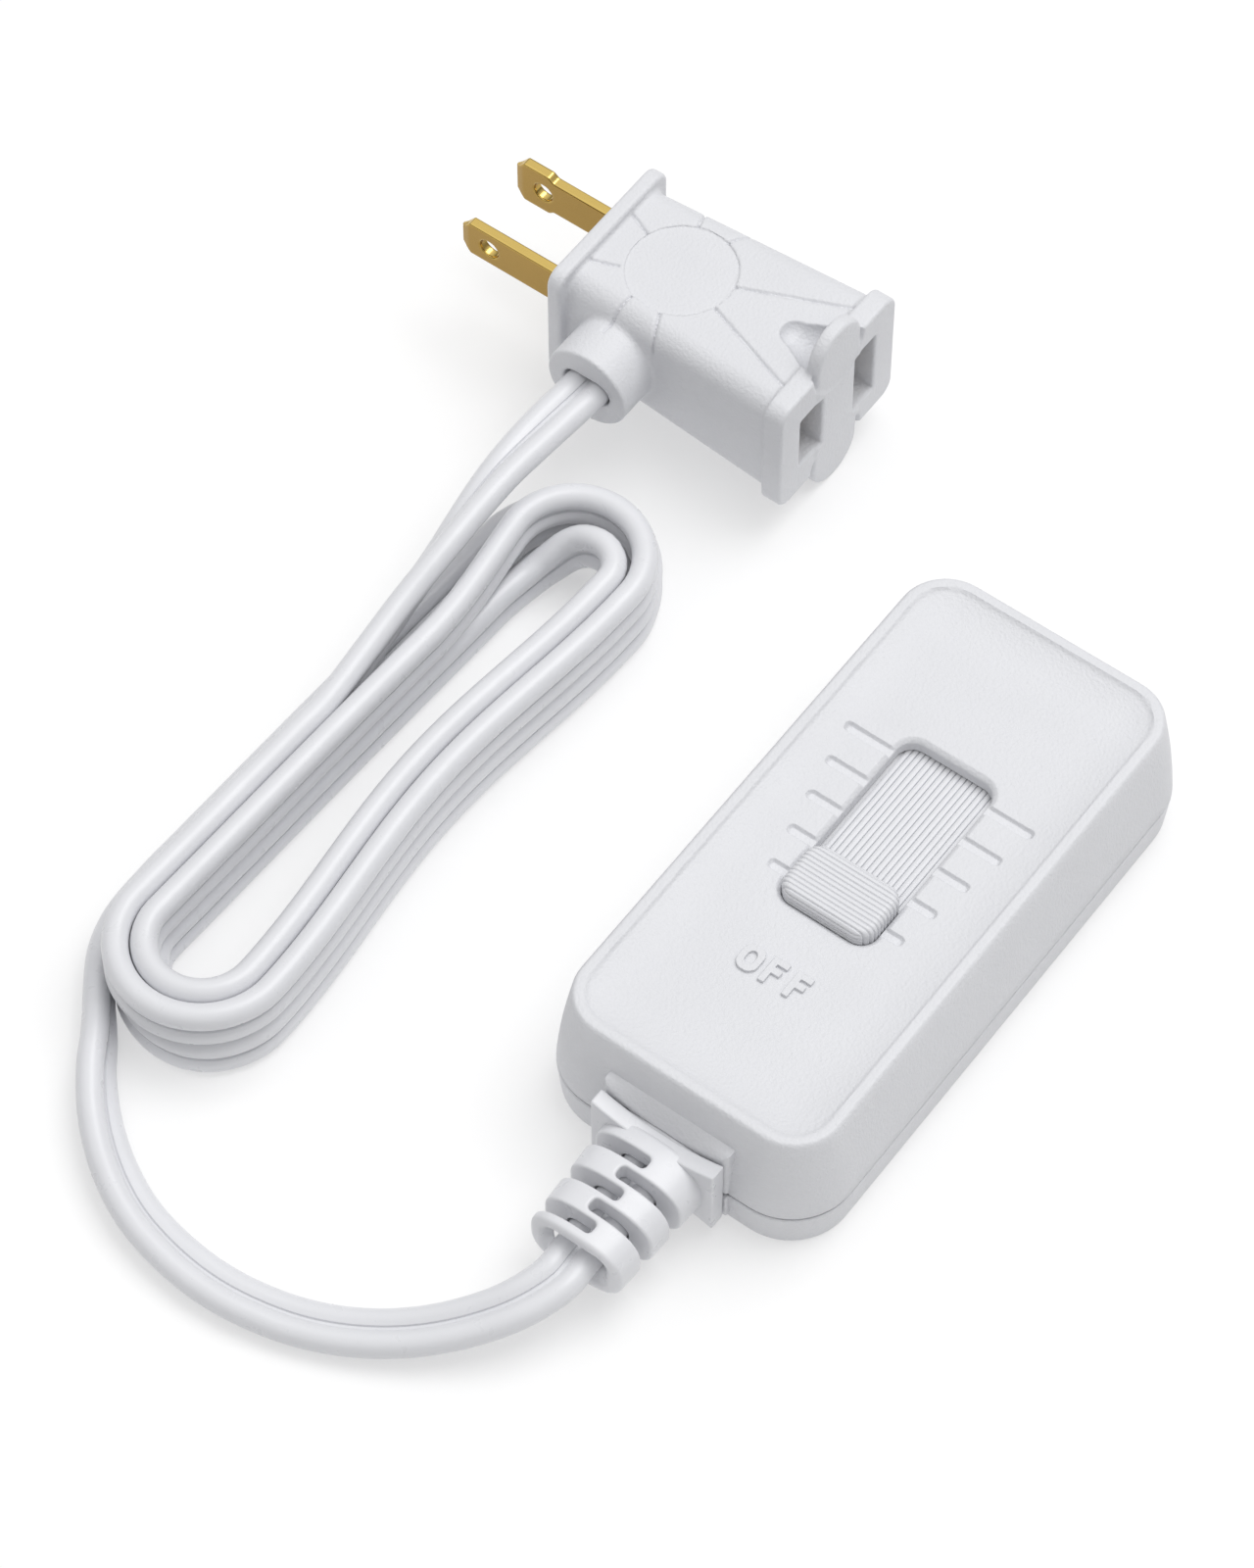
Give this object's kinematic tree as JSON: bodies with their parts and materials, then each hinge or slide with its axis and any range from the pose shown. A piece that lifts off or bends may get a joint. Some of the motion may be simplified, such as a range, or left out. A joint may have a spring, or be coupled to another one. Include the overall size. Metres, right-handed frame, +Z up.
{
  "type": "plug-in lamp dimmer cord",
  "caption": "Table-top slide dimmer box on a flat white two-core cord, wound in a hank, with a polarised two-blade pass-through plug.",
  "frame": {"origin": "centre of the dimmer box's underside, on the surface it stands on", "axes": "+Y along the box from its cord end towards full brightness, +X to the right seen from the cord end, +Z up"},
  "size_m": [0.1311, 0.1692, 0.0327],
  "materials": {
    "housing": "fine spark-eroded satin white",
    "knob": "satin white",
    "cord": "smooth soft satin white PVC",
    "blades": "bright rolled brass",
    "contacts": "bright rolled brass",
    "carrier": "matt cream",
    "screws": "zinc plated",
    "board": "green solder mask",
    "carriage": "matt grey",
    "black_parts": "matt black",
    "heat_sink": "mill finish",
    "copper": "enamelled copper",
    "cream_parts": "matt cream",
    "grey_parts": "matt grey"
  },
  "bodies": {
    "root": {"base_cover": "housing", "blade_narrow": "blades", "blade_wide": "blades", "choke": "copper", "circuit_board": "board", "contact_carrier": "carrier", "contact_hot": "contacts", "contact_neutral": "contacts", "cord_end_in_dimmer": "cord", "cord_end_in_plug": "cord", "cord_hank": "cord", "cord_lead": "cord", "cord_tail": "cord", "cover_screw_1": "screws", "cover_screw_2": "screws", "cover_screw_3": "screws", "cover_screw_4": "screws", "crimp_feed": "contacts", "crimp_return": "contacts", "dimmer_wire_1": "copper", "dimmer_wire_2": "copper", "film_capacitor": "cream_parts", "heat_sink": "heat_sink", "link_hot": "contacts", "link_neutral": "contacts", "plug_body": "housing", "potentiometer_body": "screws", "resistor": "cream_parts", "strain_relief": "cord", "timing_capacitor": "cream_parts", "top_cover": "housing", "triac": "black_parts", "triac_screw": "screws", "trigger_diode": "grey_parts", "wire_feed": "copper", "wire_return": "copper"},
    "slider": {"slider_knob": "knob", "slider_shutter": "knob", "slider_carriage": "carriage", "potentiometer_wiper": "black_parts"}
  },
  "joints": [
    {"name": "brightness_slide", "type": "slide", "parent": "root", "child": "slider", "axis": [0, 1, 0], "range_m": [0, 0.021]}
  ]
}
